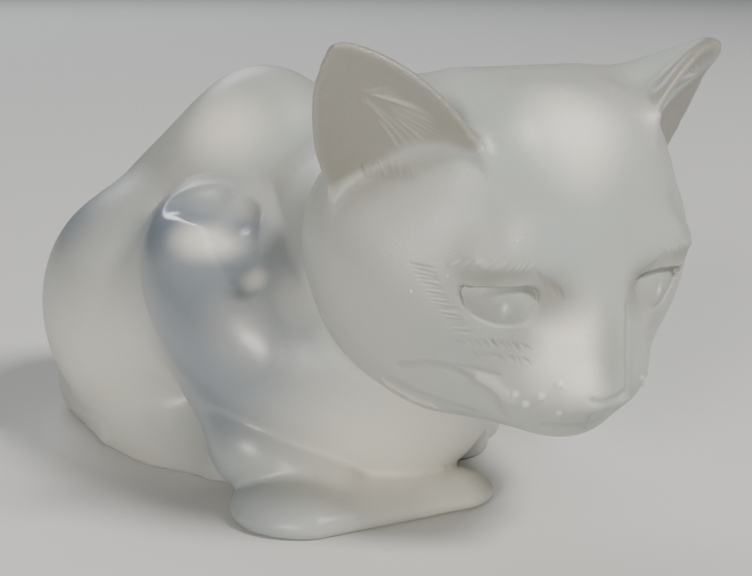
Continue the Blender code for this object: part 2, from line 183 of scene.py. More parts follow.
# tint of the tiny bubbles and grit, and of the painted highlights on ridges and the glints of the
# eyes
SPECK_AND_RIDGE_HIGHLIGHT_TINT = (0.9, 0.88, 0.82, 1.0)
SATIN_ROUGHNESS = 0.43
POLISH_GAIN = 0.10         # how much smoother the polished places are
PATCH_ROUGHNESS = (-0.05, 0.06)    # change of roughness from patch to patch
CRYSTAL_IOR = 1.54
TRANSMISSION = 0.08
SUBSURFACE = 0.3
SUBSURFACE_DEPTH = 0.001   # metres
SUBSURFACE_RADIUS = (0.9, 1.0, 0.95)
COAT = 0.7                 # clear gloss of a fully polished place
COAT_FROM = (0.6, 0.95)    # which begins between these amounts of polish
COAT_ROUGHNESS = 0.18

# Pattern scales, in repeats per metre, and depths, in metres.
CLOUD_SCALE = 28.0
PATCH_SCALE = 75.0
SPECK_SCALE = 260.0
SPECK_FIELD_SCALE = 60.0   # where specks gather
SPECK_EDGE = (0.16, 0.08)  # a speck fades in between these distances from its middle
SPECK_FIELD = (0.60, 0.68) # and where the field is between these values
SPECK_MIX = 0.5            # how much of the speck's tint shows
SPECK_HIGH = 0.0006
SPECK_BUMP = 0.35
ETCH_SCALE = 1500.0
ETCH_BUMP = (0.25, 0.03)   # strength on the satin and on a polished place
ETCH_DEEP = 0.0004
RIPPLE_SCALE = 240.0
RIPPLE_BUMP = 0.06
RIPPLE_DEEP = 0.0012

# Painted light: warm, bright places painted into the colour, standing for highlights and for light
# shining through the crystal.
PAINTED_LIGHT_PLACES = (
    (((-54, -12, 50), (14, 16, 16)), 0.2),
    (((-50, 52, 28), (30, 48, 40)), 0.5),
    (((-49, 8, 69), (14, 14, 7)), 0.9),
    (((-46.4, -8, 60), (5.5, 5, 4.5)), 0.5),
    (((-42, -19, 57), (10, 10, 13)), 0.3),
    (((-24, 32, 94), (16, 18, 14)), 0.7),
    (((-16, -30, 14), (52, 36, 42)), 0.9),
    (((-15, -44, 6), (28, 22, 18)), 0.8),
    (((-27, -92, 55), (11, 14, 17)), 1.0),
    (((-25.5, -95, 49), (8, 12, 12)), 1.0),
    (((-18, -86, 102), (16, 16, 18)), 0.8),
)
# warm colour of the painted light
PAINTED_LIGHT_TINT = (1.0, 0.96, 0.86, 1.0)

FLOOR_HALF = 120.0         # metres
FLOOR_TINT = (0.72, 0.72, 0.71, 1.0)
FLOOR_ROUGHNESS = 0.85
LIT_HEIGHT = 0.05          # the lights aim at this height, metres
WORLD_COLOUR = (0.80, 0.85, 0.92, 1.0)
WORLD_STRENGTH = 0.07
# Each light: name, place and size in metres, power in watts, colour.
LIGHTS = (
    ("key", (0.5, -2.1, 2.3), (0.8, 0.8), 92.0, (1.0, 0.97, 0.93)),
    ("side", (-2.9, -1.3, 0.9), (0.9, 0.8), 68.0, (1.0, 0.95, 0.86)),
    ("back", (1.2, 3.2, 2.4), (2.6, 1.4), 64.0, (0.94, 0.97, 1.0)),
)

HEAD_CENTRE = (-9.6, -62.6, 70.2)
HEAD_PITCH = 18.9          # nose down
HEAD_YAW = -13.0           # turned to the cat's right
HEAD_ROLL = 0.6

# Each ear in the head's frame: middle of its root, the way to its tip, the way its opening
# faces, half width at the root, height.
RIGHT_EAR = ((-36, 1.7, 23.7), (-20.7, 4, 27.7), (-0.554, -0.774, -0.303), 19.0, 38.0)
LEFT_EAR = ((33.6, 1.7, 26), (18.3, 4.3, 22), (0.47, -0.85, -0.2), 22.0, 32.0)
EAR_BULGE = 15.0                   # depth of the ball the ear's back is part of
EAR_BALL = (1.25, 1.35)            # its other radii, in ear widths and ear heights
EAR_BALL_AHEAD = 0.6               # how far its middle lies ahead, in depths
EAR_TIP_SOFT = 2.5                 # softness of the pointed outline
EAR_FOOT_SOFT = 5.0                # of its foot
EAR_BACK_SOFT = 2.4                # of the edge at the back
EAR_CUP_SOFT = 1.8                 # and of the edge of the cup
EAR_WALL = 3.2
EAR_SINK = 2.5                     # how far the ear's outline runs below its root
EAR_SPARE = 0.8                    # the rough leaf is this much larger all round

EYE_MIDDLE = (22.0, 5.0)           # across and up, in the head's frame
EYE_SHIFT = -2.0                   # the pair sits a little towards the cat's right
EYE_HALF = (8.2, 5.9)              # half width and half height of the opening
EYE_SLOPE = -3.0                   # the lid's slant, degrees
LID_LINE = 3.6                     # the straight upper lid, above the middle
LID_BOW = 0.01                     # how much it bows down to the sides
LID_SOFT = 1.6                     # softness of the corners it makes
LID_DEEPER = 0.2                   # slope of the eyeball back under the lid
EYE_SINK = 1.2                     # depth of the opening along its edge
EYE_DOME = 1.5                     # how far the eyeball stands up inside it
EYEBALL_HALF = (8.8, 6.2)          # half width and half height of the eyeball
EYEBALL_UP = -1.0                  # its place above the middle
SLIT_DEPTH = 0.45                  # depth of the pupil's slit
SLIT_PLACE = (-0.3, -1.2)          # across and up
SLIT_SPREAD = (0.7, 6.0)           # and how far it spreads, as squares
EYE_EDGE_SOFT = 0.8                # softness of the foot of the opening's edge
EYE_RIM_SOFT = 0.5                 # and of its rim

# Each mass: kind, geometry, softness of its blend with what came before, both sides or not.
# ball: centre, radii, tilt about x, turn about z.
# limb: start, end, start radius, end radius, flatness.
# block: centre, half sizes, edge radius, tilt about x.
TRUNK = (
    ("torso", "ball", ((-2, 52.5, 43.5), (41, 49.5, 47.5), 0, 0), 0, False),
    ("back hump", "ball", ((-2, 38.5, 60.5), (31, 33.5, 48.5), 0, 0), 14, False),
    ("haunch", "ball", ((29.5, 59.5, 37.5), (26.5, 37.5, 37.5), 0, -6), 8, True),
    ("foot of haunch", "limb", ((21.5, 95.5, 10.5), (31.5, 39.5, 2), 15, 18, 1), 10, True),
    ("under the knee", "limb", ((-33, 50, 4), (-37, 16, 3), 14, 9, 1), 8, False),
    ("belly", "block", ((0, 52, 8), (38, 46, 9), 8, 0), 8, False),
    ("under the rump", "block", ((0, 87, 7), (22, 15, 9), 5, 0), 6, False),
    ("neck", "limb", ((-4, -5, 62), (-8, -44, 62), 30, 33, 1), 12, False),
)
UPPER_ARM = (
    ("upper arm", "limb", ((37, 43, 52), (45, -6, 15), 11, 10, 1), 0, True),
    ("shoulder blade", "limb", ((-36, 42, 62), (-42, 10, 62), 8, 9, 1), 4, False),
    ("elbow", "limb", ((-45, -4, 15), (-36, -26, 6), 10.5, 8, 1), 5, False),
    ("left elbow", "limb", ((45, -4, 15), (36, -9, 6), 10.5, 9, 1), 6, False),
    ("crest of the blade", "limb", ((-43.5, 28, 65), (-45.5, 3, 62), 6.5, 4.5, 1), 3, False),
)
TAIL = (((27, 96, 9), 10.0), ((1, 101.5, 9), 9.5), ((-20, 98.5, 6.5), 7.5), ((-35, 84, 5), 5.8),
        ((-44.5, 58, 4), 5.0))
BREAST = (
    ("right shoulder", "ball", ((-27, 8, 47), (32.5, 44.5, 27), 38, 0), 0, False),
    ("left shoulder", "ball", ((24, 11, 43), (29, 44, 27.5), 38, 0), 6, False),
    ("chest", "ball", ((-9.5, -20, 35.5), (33, 29.5, 35.5), 0, 0), 8, False),
)
RIGHT_FOREARM = (
    ("right forearm", "limb", ((-43, -22, 3), (-9, -42, 3.5), 19, 11, 0.42), 0, False),
)
PAW_DIMPLE = ((-64.5, -28.5, 13.0), (4.0, 5.0, 3.0), 0, -40)
LEFT_FOREARM = (("left forearm", "limb", ((38, 10, 5), (20, -14, 4), 15, 12, 0.62), 0, False),)
BLADE_GROOVE = (((-47, 24, 79.5), 6.5), ((-43.5, 15, 80), 8.5), ((-41, 8, 78), 8.5),
                ((-47.5, -2, 70.5), 7.0), ((-51.5, -8.5, 62), 5.2))
HEAD = (
    ("skull", "ball", ((0.5, 8.5, 2), (51, 39, 31.5), 0, 0), 0, False),
    ("crown", "block", ((0, 4, 16.4), (35, 25, 27.5), 23, 0), 10, False),
    ("cheek", "ball", ((20, 6, -11.5), (25, 30.5, 25), 0, 0), 10, True),
    ("face", "ball", ((0, -10.5, 0.5), (32.5, 20.5, 24), 0, 0), 8, False),
    ("middle of the face", "ball", ((0, -16, -9), (24, 19.5, 18), 0, 0), 10, False),
    ("brow", "ball", ((18, -17.5, 12), (14, 7, 6.5), 0, -28), 8, True),
    ("back of the right ear", "limb", ((-24, 9.5, 32.5), (-49, 12.5, 42), 9.3, 2.4, 1), 8, False),
    ("back of the left ear", "limb", ((24, 11.5, 31), (51, 9.2, 47), 9.2, 2.4, 1), 8, False),
    ("side of the bridge", "block", ((0, -24.4, -4), (11, 8.5, 18), 6, -31), 6, False),
    ("nose bridge", "block", ((0, -25.9, -2.5), (6, 9.5, 22), 2.6, -31), 5, False),
)
BRIDGE_FLANK = ((-9, -25.5, 4), (-6.4, -36.0, -13), 7.0, 5.2, 1)      # a swelling on the right
BRIDGE_SIDE = ((16, -37.5, 2), (15, -41.5, -9), 4.0, 3.0, 1)          # hollows beside the bridge
EYE_CORNER = ((13.5, -36.5, 6.5), (5.0, 6.5, 5.5), 0, 0)              # and inside the eyes
MUZZLE = (
    ("nose tip", "ball", ((0, -37.6, -14.2), (5.2, 5.5, 4.2), 0, 0), 2.5, False),
    ("muzzle", "ball", ((9.5, -24.5, -18.5), (13.5, 13.5, 11), 0, 0), 7, True),
    ("jaw", "ball", ((0, -9, -20.5), (31, 24, 13.5), 0, 0), 7, False),
    ("chin", "ball", ((0, -29, -25.5), (11, 9, 6.5), 0, 0), 5, False),
    ("jowl", "ball", ((21, -8, -19), (14, 15, 13.5), 0, 0), 7, True),
)

# Softness of the blends between groups of masses.
BODY_SIDES_SOFT = 4.0      # left and right of the body
HEAD_SIDES_SOFT = 6.0      # left and right of the head
HOLLOW_SIDES_SOFT = 1.0    # left and right hollows of the face
FLANK_SOFT = 3.0
BRIDGE_SIDE_SOFT = 3.5
EYE_CORNER_SOFT = 5.0
RIGHT_EAR_SOFT = 4.0
LEFT_EAR_SOFT = 6.0
UPPER_ARM_SOFT = 5.0
BREAST_SOFT = 2.0
GROOVE_SOFT = (2.0, 1.6)   # along the groove, and at its edge
TAIL_SOFT = (1.0, 2.0)     # along the tail, and where it meets the rump
RIGHT_FOREARM_SOFT = 2.0
PAW_DIMPLE_SOFT = 1.0
LEFT_FOREARM_SOFT = 4.0
NECK_SOFT = 2.5            # where the head meets the body


# ---------------------------------------------------------------- fields of distance
def join(a, b, soft):
    """Union of two distance fields, melted together over the given width."""
    if soft <= 0:
        return np.minimum(a, b)
    near = np.maximum(soft - np.abs(a - b), 0.0) / soft
    return np.minimum(a, b) - near * near * soft * 0.25


def keep(a, b, soft):
    """The part common to both fields."""
    return -join(-a, -b, soft)


def turn(axis, degrees):
    """Rotation matrix about x (0), y (1) or z (2)."""
    a = math.radians(degrees)
    m = np.eye(3)
    i, j = (axis + 1) % 3, (axis + 2) % 3
    m[i, i] = m[j, j] = math.cos(a)
    m[i, j] = -math.sin(a)
    m[j, i] = math.sin(a)
    return m


def ball(p, shape):
    centre, radii, tilt, swing = shape
    q = (p - np.array(centre, float)) @ (turn(2, swing) @ turn(0, tilt))
    radii = np.array(radii, float)
    near = np.linalg.norm(q / radii, axis=1)
    steep = np.linalg.norm(q / (radii * radii), axis=1) + 1e-9
    return near * (near - 1.0) / steep


def limb(p, shape):
    start, end, r_start, r_end, flat = shape
    squash = np.array((1.0, 1.0, 1.0 / flat))
    a = np.array(start, float)
    q = (p - a) * squash
    along = (np.array(end, float) - a) * squash
    t = np.clip(q @ along / (along @ along), 0.0, 1.0)
    gap = np.linalg.norm(q - t[:, None] * along, axis=1)
    return (gap - (r_start + (r_end - r_start) * t)) * flat


def block(p, shape):
    centre, half, radius, tilt = shape
    q = (p - np.array(centre, float)) @ turn(0, tilt)
    a = np.abs(q) - (np.array(half, float) - radius)
    outside = np.linalg.norm(np.maximum(a, 0.0), axis=1)
    return outside + np.minimum(a.max(axis=1), 0.0) - radius


KINDS = {"ball": ball, "limb": limb, "block": block}
FLIP = np.array((-1.0, 1.0, 1.0))


def both_sides(field, p, soft):
    return join(field(p), field(p * FLIP), soft)


def masses(p, forms, side_soft, total=None):
    """Blend a list of masses in order."""
    for _, kind, shape, soft, paired in forms:
        def field(q, kind=kind, shape=shape):
            return KINDS[kind](q, shape)
        d = both_sides(field, p, side_soft) if paired else field(p)
        total = d if total is None else join(total, d, soft)
    return total


def chain(p, knots, soft):
    """A run of limbs through points that each carry a radius."""
    total = None
    for (a, ra), (b, rb) in zip(knots[:-1], knots[1:]):
        d = limb(p, (a, b, ra, rb, 1))
        total = d if total is None else join(total, d, soft)
    return total


# ---------------------------------------------------------------- ears
def ear_axes(ear):
    """Root point and the across, up and forward directions of an ear."""
    root, up, front = (np.array(v, float) for v in ear[:3])
    up /= np.linalg.norm(up)
    front -= front @ up * up
    front /= np.linalg.norm(front)
    return root, np.stack((np.cross(up, front), up, front), axis=1)


def ear_arch(ear):
    """Offset and radius of the two arcs that make the pointed outline."""
    width, height = ear[3:]
    offset = (height ** 2 - width ** 2) / (2.0 * width)
    return offset, offset + width


def ear_field(p, ear):
    """A cupped leaf with a pointed-arch outline."""
    root, axes = ear_axes(ear)
    q = (p - root) @ axes
    offset, radius = ear_arch(ear)
    arcs = [np.hypot(q[:, 0] - s * offset, q[:, 1]) - radius for s in (1, -1)]
    leaf = keep(arcs[0], arcs[1], EAR_TIP_SOFT)
    outline = keep(leaf, -(q[:, 1] + EAR_SINK), EAR_FOOT_SOFT)
    radii = (EAR_BALL[0] * ear[3], EAR_BALL[1] * ear[4], EAR_BULGE)
    middle = EAR_BALL_AHEAD * EAR_BULGE
    back = ball(q, ((0, 0, middle), radii, 0, 0))
    cup = ball(q, ((0, 1, middle + EAR_WALL), radii, 0, 0))
    return keep(keep(outline, back, EAR_BACK_SOFT), -cup, EAR_CUP_SOFT)


# ---------------------------------------------------------------- eyes
def eye_place(q):
    """Across and up from the middle of the nearer eye, along its lid."""
    a = np.abs(q[:, 0] - EYE_SHIFT) - EYE_MIDDLE[0]
    b = q[:, 2] - EYE_MIDDLE[1]
    c, s = math.cos(math.radians(EYE_SLOPE)), math.sin(math.radians(EYE_SLOPE))
    return a * c + b * s, b * c - a * s


def eye_opening(u, v):
    """Oval cut straight by the upper lid."""
    disc = (np.hypot(u / EYE_HALF[0], v / EYE_HALF[1]) - 1.0) * EYE_HALF[1]
    return keep(disc, v - LID_LINE + LID_BOW * u * u, LID_SOFT)


def eye_depth(u, v):
    """How far the eyeball lies under the skin: deep along the lids, domed, with a slit pupil."""
    dome = np.hypot(u / EYEBALL_HALF[0], (v - EYEBALL_UP) / EYEBALL_HALF[1])
    across, up = u - SLIT_PLACE[0], v - SLIT_PLACE[1]
    slit = SLIT_DEPTH * np.exp(-(across ** 2 / SLIT_SPREAD[0] + up ** 2 / SLIT_SPREAD[1]))
    lid = LID_DEEPER * np.clip(v - EYEBALL_UP, 0.0, 9.0)
    return EYE_SINK - EYE_DOME * np.clip(1.0 - dome * dome, 0.0, 1.0) + lid + slit


def open_eyes(q, skin):
    u, v = eye_place(q)
    floor = skin + eye_depth(u, v)
    front = np.where(q[:, 1] < 0.0, eye_opening(u, v), 9.0)
    return keep(skin, join(-front, floor, EYE_EDGE_SOFT), EYE_RIM_SOFT)


# ---------------------------------------------------------------- the whole animal
def head_axes():
    return turn(2, HEAD_YAW) @ turn(0, HEAD_PITCH) @ turn(1, HEAD_ROLL)


def in_head(p):
    return (p - np.array(HEAD_CENTRE)) @ head_axes()


def head_field(p):
    q = in_head(p)
    beside = both_sides(lambda r: limb(r, BRIDGE_SIDE), q, HOLLOW_SIDES_SOFT)
    corners = both_sides(lambda r: ball(r, EYE_CORNER), q, HOLLOW_SIDES_SOFT)
    d = masses(q, HEAD, HEAD_SIDES_SOFT)
    d = join(d, limb(q, BRIDGE_FLANK), FLANK_SOFT)
    d = keep(d, -beside, BRIDGE_SIDE_SOFT)
    d = keep(d, -corners, EYE_CORNER_SOFT)
    d = masses(q, MUZZLE, HEAD_SIDES_SOFT, d)
    d = open_eyes(q, d)
    d = join(d, ear_field(q, RIGHT_EAR), RIGHT_EAR_SOFT)
    return join(d, ear_field(q, LEFT_EAR), LEFT_EAR_SOFT)


def body_field(p):
    d = masses(p, TRUNK, BODY_SIDES_SOFT)
    d = join(d, masses(p, UPPER_ARM, BODY_SIDES_SOFT), UPPER_ARM_SOFT)
    d = join(d, masses(p, BREAST, BODY_SIDES_SOFT), BREAST_SOFT)
    d = keep(d, -chain(p, BLADE_GROOVE, GROOVE_SOFT[0]), GROOVE_SOFT[1])
    d = join(d, chain(p, TAIL, TAIL_SOFT[0]), TAIL_SOFT[1])
    d = join(d, masses(p, RIGHT_FOREARM, BODY_SIDES_SOFT), RIGHT_FOREARM_SOFT)
    d = keep(d, -ball(p, PAW_DIMPLE), PAW_DIMPLE_SOFT)
    return join(d, masses(p, LEFT_FOREARM, BODY_SIDES_SOFT), LEFT_FOREARM_SOFT)


def cat_field(p):
    d = join(body_field(p), head_field(p), NECK_SOFT)
    return keep(d, -p[:, 2], EDGE_ROUND)


# ---------------------------------------------------------------- rough solid
def matrix_of(axes):
    return Matrix([[float(v) for v in row] for row in axes]).to_4x4()


def add_ball(bm, centre, radii, axes):
    made = bmesh.ops.create_icosphere(bm, subdivisions=3, radius=1.0)
    place = Matrix.Translation(centre) @ matrix_of(axes) @ Matrix.Diagonal((*radii, 1.0))
    bmesh.ops.transform(bm, matrix=place, verts=made["verts"])
    return made["verts"]


def add_limb(bm, shape, place):
    """A tapered limb as a row of overlapping balls."""
    start, end, r_start, r_end, flat = shape
    for k in range(LIMB_BALLS):
        t = k / (LIMB_BALLS - 1)
        r = r_start + (r_end - r_start) * t
        centre = Vector(start).lerp(Vector(end), t)
        verts = add_ball(bm, centre, (r, r, r * flat), np.eye(3))
        bmesh.ops.transform(bm, matrix=place, verts=verts)


def add_form(bm, form, place):
    _, kind, shape, _, paired = form
    for side in ((1, -1) if paired else (1,)):
        def flip(v):
            return Vector((v[0] * side, v[1], v[2]))
        if kind == "limb":
            add_limb(bm, (flip(shape[0]), flip(shape[1]), *shape[2:]), place)
            continue
        swing = shape[3] * side if kind == "ball" else 0.0
        tilt = shape[2] if kind == "ball" else shape[3]
        verts = add_ball(bm, flip(shape[0]), shape[1], turn(2, swing) @ turn(0, tilt))
        bmesh.ops.transform(bm, matrix=place, verts=verts)


def add_ear(bm, place, ear):
    """A bent leaf a little larger than the ear, so that it settles inwards."""
    root, axes = ear_axes(ear)
    offset, radius = ear_arch(ear)
    width, height = ear[3:]
    bulk = 0.5 * EAR_WALL + EAR_SPARE
    made = bmesh.ops.create_icosphere(bm, subdivisions=5, radius=1.0)
    for v in made["verts"]:
        girth = max(math.sqrt(max(1.0 - v.co.y ** 2, 0.0)), 0.2)
        t = height * (0.38 + 0.64 * v.co.y)
        s = v.co.x / girth * max(math.sqrt(radius ** 2 - t * t) - offset + EAR_SPARE, EAR_SPARE)
        out = (s / (EAR_BALL[0] * width)) ** 2 + (t / (EAR_BALL[1] * height)) ** 2
        depth = EAR_BALL_AHEAD * EAR_BULGE - EAR_BULGE * math.sqrt(max(1.0 - out, 0.0))
        thick = math.copysign(abs(v.co.z / girth) ** 0.4, v.co.z)
        depth += 0.5 * EAR_WALL + bulk * thick
        v.co = Vector(root + axes @ np.array((s, t, depth)))
    bmesh.ops.transform(bm, matrix=place, verts=made["verts"])


def rough_mesh():
    """All masses as overlapping closed shells in one mesh."""
    bm = bmesh.new()
    for form in TRUNK + UPPER_ARM + BREAST + RIGHT_FOREARM + LEFT_FOREARM:
        add_form(bm, form, Matrix.Identity(4))
    for (a, ra), (b, rb) in zip(TAIL[:-1], TAIL[1:]):
        add_limb(bm, (a, b, ra, rb, 1), Matrix.Identity(4))
    head = Matrix.Translation(HEAD_CENTRE) @ matrix_of(head_axes())
    for form in HEAD + MUZZLE:
        add_form(bm, form, head)
    for ear in (RIGHT_EAR, LEFT_EAR):
        add_ear(bm, head, ear)
    bmesh.ops.recalc_face_normals(bm, faces=bm.faces)
    mesh = bpy.data.meshes.new("glass_cat")
    bm.to_mesh(mesh)
    bm.free()
    return mesh


# ---------------------------------------------------------------- settling on the surface
def apply_modifiers(obj):
    graph = bpy.context.evaluated_depsgraph_get()
    mesh = bpy.data.meshes.new_from_object(obj.evaluated_get(graph))
    obj.modifiers.clear()
    old = obj.data
    obj.data = mesh
    bpy.data.meshes.remove(old)


def points_of(mesh):
    flat = np.empty(3 * len(mesh.vertices), np.float32)
    mesh.vertices.foreach_get("co", flat)
    return flat.reshape(-1, 3).astype(float)


def put_points(mesh, p):
    mesh.vertices.foreach_set("co", p.astype(np.float32).ravel())
    mesh.update()


def slope(p, here):
    """Gradient of the sculpted field at every point."""
    g = np.empty_like(p)
    for axis in range(3):
        step = np.zeros(3)
        step[axis] = SLOPE_REACH
        g[:, axis] = (cat_field(p + step) - here) / SLOPE_REACH
    return g


def settle(mesh):
    p = points_of(mesh)
    for _ in range(SETTLE_STEPS):
        here = cat_field(p)
        g = slope(p, here)
        move = here / np.maximum((g * g).sum(axis=1), 0.05)
        p -= np.clip(move, -SETTLE_MOST, SETTLE_MOST)[:, None] * g
    put_points(mesh, p)


def reskin(obj, grain):
    mod = obj.modifiers.new("skin", "REMESH")
    mod.mode = "VOXEL"
    mod.voxel_size = grain
    mod.use_smooth_shade = True
    apply_modifiers(obj)


def even_out(obj):
    mod = obj.modifiers.new("even out", "SMOOTH")
    mod.factor = 0.5
    mod.iterations = 2
    apply_modifiers(obj)


# ---------------------------------------------------------------- fine detail
def split(mesh, want):
    """Halve every edge whose two ends are both wanted."""
    bm = bmesh.new()
    bm.from_mesh(mesh)
    bm.verts.ensure_lookup_table()
    edges = [e for e in bm.edges if want[e.verts[0].index] and want[e.verts[1].index]]
    bmesh.ops.subdivide_edges(bm, edges=edges, cuts=1, use_grid_fill=True)
    bmesh.ops.triangulate(bm, faces=[f for f in bm.faces if len(f.verts) > 4])
    bm.to_mesh(mesh)
    bm.free()


def on_head(mesh):
    """Points of the face and ears."""
    p = points_of(mesh)
    q = in_head(p)
    face = (q[:, 1] < FINE_BACK) & (p[:, 2] > FINE_LOW)
    return face | ((np.abs(q[:, 0]) > EARS_FROM[0]) & (q[:, 2] > EARS_FROM[1]))


def by_fine_work(mesh):
    """Points next to a fur row, a whisker bead, a narrow fold or the edge of an eye."""
    q = in_head(points_of(mesh))
    u, v = eye_place(q)
    near = (np.abs(eye_opening(u, v)) < FINE_EYE) & (q[:, 1] < 0.0)
    q[:, 0] = -np.abs(q[:, 0])
    for starts, ends, *_ in FUR_ROWS:
        middle = (np.array(starts) + np.array(ends)) / 2.0
        for a, b in zip(middle[:-1], middle[1:]):
            near |= near_line(q, a, b)[0] < FINE_REACH
    for bead in WHISKER_BEADS:
        near |= np.linalg.norm(q - np.array(bead), axis=1) < FINE_BEAD
    for line, *_ in CREASES[FINE_FOLDS]:
        for a, b in zip(line[:-1], line[1:]):
            near |= near_line(q, a, b)[0] < FINE_FOLD
    return near


def grind_base(mesh):
    """Press the underside flat."""
    p = points_of(mesh)
    p[:, 2] = np.maximum(p[:, 2], GROUND_OFF)
    put_points(mesh, p)


def to_real_size(mesh):
    """Scale to metres inside the CAD box, and return the sculpt point that becomes the origin."""
    p = points_of(mesh)
    low, high = p.min(axis=0), p.max(axis=0)
    unit = LENGTH / SCULPT_LENGTH
    cad_low, cad_high = (np.array(v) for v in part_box("glass_cat"))
    middle = (cad_low + cad_high) / 2.0
    origin = (low + high) / 2.0 - middle / unit
    origin[2] = low[2]
    mesh.transform(Matrix.Scale(unit, 4) @ Matrix.Translation(-Vector(origin)))
    return origin


def ear_edge(q, ear):
    """Distance outside the ear's outline, negative inside, and the points in the ear's frame."""
    root, axes = ear_axes(ear)
    e = (q - root) @ axes
    offset, radius = ear_arch(ear)
    arcs = [np.hypot(e[:, 0] - s * offset, e[:, 1]) - radius for s in (1, -1)]
    return np.maximum(arcs[0], arcs[1]), e


def ear_rims(p):
    """Which points lie in the thin rim of an ear."""
    q = in_head(p)
    rim = np.zeros(len(q), bool)
    for ear in (RIGHT_EAR, LEFT_EAR):
        edge, e = ear_edge(q, ear)
        band = (edge > -RIM_BAND) & (edge < RIM_OUTSIDE)
        rim |= band & (e[:, 1] > RIM_FOOT) & (np.abs(e[:, 2]) < RIM_DEPTH)
    return rim


def smooth_rims(mesh, passes):
    """Relax the thin rims of the ears into clean lines."""
    rim = ear_rims(points_of(mesh))
    bm = bmesh.new()
    bm.from_mesh(mesh)
    bm.verts.ensure_lookup_table()
    verts = [bm.verts[k] for k in np.flatnonzero(rim)]
    for _ in range(passes):
        bmesh.ops.smooth_vert(bm, verts=verts, factor=0.5,
                              use_axis_x=True, use_axis_y=True, use_axis_z=True)
    bm.to_mesh(mesh)
    bm.free()


def keep_rims(mesh, before):
    """Put the rims of the ears back where they were."""
    p = points_of(mesh)
    put_points(mesh, np.where(ear_rims(before)[:, None], before, p))


def near_line(q, a, b, facing=None):
    """Distance to a short line, seen along the skin's facing if given, and the place along it."""
    a, b = np.array(a, float), np.array(b, float)
    t = np.clip((q - a) @ (b - a) / ((b - a) @ (b - a)), 0.0, 1.0)
    off = q - a - t[:, None] * (b - a)
    if facing is not None:
        off -= (off * facing).sum(axis=1)[:, None] * facing
    return np.linalg.norm(off, axis=1), t


def stroke(q, facing, lift, a, b, wide, high):
    """Raise (or cut, when high is negative) a tapering stroke into the skin."""
    centre = (np.array(a, float) + np.array(b, float)) / 2.0
    reach = np.linalg.norm(np.array(b, float) - centre) + STROKE_REACH
    near = np.flatnonzero(np.abs(q - centre).max(axis=1) < reach)
    d, t = near_line(q[near], a, b, facing[near])
    low, top = STROKE_TAPER
    taper = np.sin(np.pi * (low + (top - low) * t))
    lift[near] += high * taper * np.exp(-(d / wide) ** 2)


def row_of_strokes(q, facing, lift, row, rng):
    """Strokes whose ends run along two broken lines."""
    starts, ends, count, wide, high = row
    knots = np.linspace(0.0, 1.0, len(starts))
    for k in range(count):
        t = np.clip((k + rng.uniform(-STROKE_DRIFT, STROKE_DRIFT)) / (count - 1), 0.0, 1.0)
        a = [np.interp(t, knots, [p[i] for p in starts]) for i in range(3)]
        b = [np.interp(t, knots, [p[i] for p in ends]) for i in range(3)]
        b = np.array(b) + rng.uniform(-STROKE_STRAY, STROKE_STRAY, 3)
        wide_here = wide * rng.uniform(*STROKE_WIDER)
        stroke(q, facing, lift, a, b, wide_here, high * rng.uniform(*STROKE_HIGHER))


def cut_lines(q, facing, lift, lines):
    """Long folds; where several meet, the strongest counts."""
    for line, wide, high in lines:
        for a, b in zip(line[:-1], line[1:]):
            centre = (np.array(a) + np.array(b)) / 2.0
            reach = np.linalg.norm(np.array(b) - centre) + STROKE_REACH + wide
            near = np.flatnonzero(np.abs(q - centre).max(axis=1) < reach)
            d, _ = near_line(q[near], a, b, facing[near])
            cut = high * np.exp(-(d / wide) ** 2)
            lift[near] = np.where(np.abs(cut) > np.abs(lift[near]), cut, lift[near])


def ear_strands(q, facing, ear, rng):
    """Lift of the hair that fans across the cup of an ear from its front edge."""
    _, e = ear_edge(q, ear)
    _, axes = ear_axes(ear)
    side = np.sign(ear[0][0])
    s = e[:, 0] * -side
    flat = np.stack([s, e[:, 1], np.zeros(len(s))], axis=1)
    deep, proud = CUP_DEPTH
    inside = (e[:, 2] > deep) & (e[:, 2] < proud) & (facing @ axes[:, 2] > CUP_FACING)
    own = np.zeros(len(s))
    upright = np.tile((0.0, 0.0, 1.0), (len(s), 1))
    root = np.array((*FAN_ROOT, 0.0))
    knots = np.linspace(0.0, 1.0, len(FAN_TIPS))
    for t in np.linspace(0.0, 1.0, STRANDS):
        tip = np.array([np.interp(t, knots, [k[i] for k in FAN_TIPS]) for i in (0, 1)] + [0.0])
        start = root + (tip - root) * rng.uniform(*STRAND_START)
        stroke(flat, upright, own, start, tip, STRAND_WIDE, rng.uniform(*STRAND_HIGH))
    return np.where(inside, own, 0.0)


def normals_of(mesh):
    flat = np.empty(3 * len(mesh.vertices), np.float32)
    mesh.vertices.foreach_get("normal", flat)
    return flat.reshape(-1, 3).astype(float)


def engrave(mesh):
    """All the fine work on the head: fur, whisker beads, mouth and folds."""
    rng = np.random.default_rng(STROKE_SEED)
    p = points_of(mesh)
    q = in_head(p)
    lift = np.zeros(len(q))
    normals = normals_of(mesh)
    facing = normals @ head_axes()
    flip = np.stack([np.where(q[:, 0] > 0.0, -1.0, 1.0), np.ones(len(q)), np.ones(len(q))], axis=1)
    sides, side_facing = q * flip, facing * flip
    cut_lines(sides, side_facing, lift, CREASES)
    cut_lines(q, facing, lift, NOSE_CUTS)
    for row in FUR_ROWS:
        row_of_strokes(sides, side_facing, lift, row, rng)
    for bead in WHISKER_BEADS:
        near = np.linalg.norm(sides - np.array(bead), axis=1)
        lift += BEAD_HIGH * np.exp(-(near / BEAD_WIDE) ** 4)
    for ear in (RIGHT_EAR, LEFT_EAR):
        lift += ear_strands(q, facing, ear, rng)
    put_points(mesh, p + lift[:, None] * normals)
    # the relief is kept, to be turned into painted shade and painted highlights
    layer = mesh.attributes.new("relief_and_painted_shade", "FLOAT", "POINT")
    layer.data.foreach_set("value", lift.astype(np.float32))


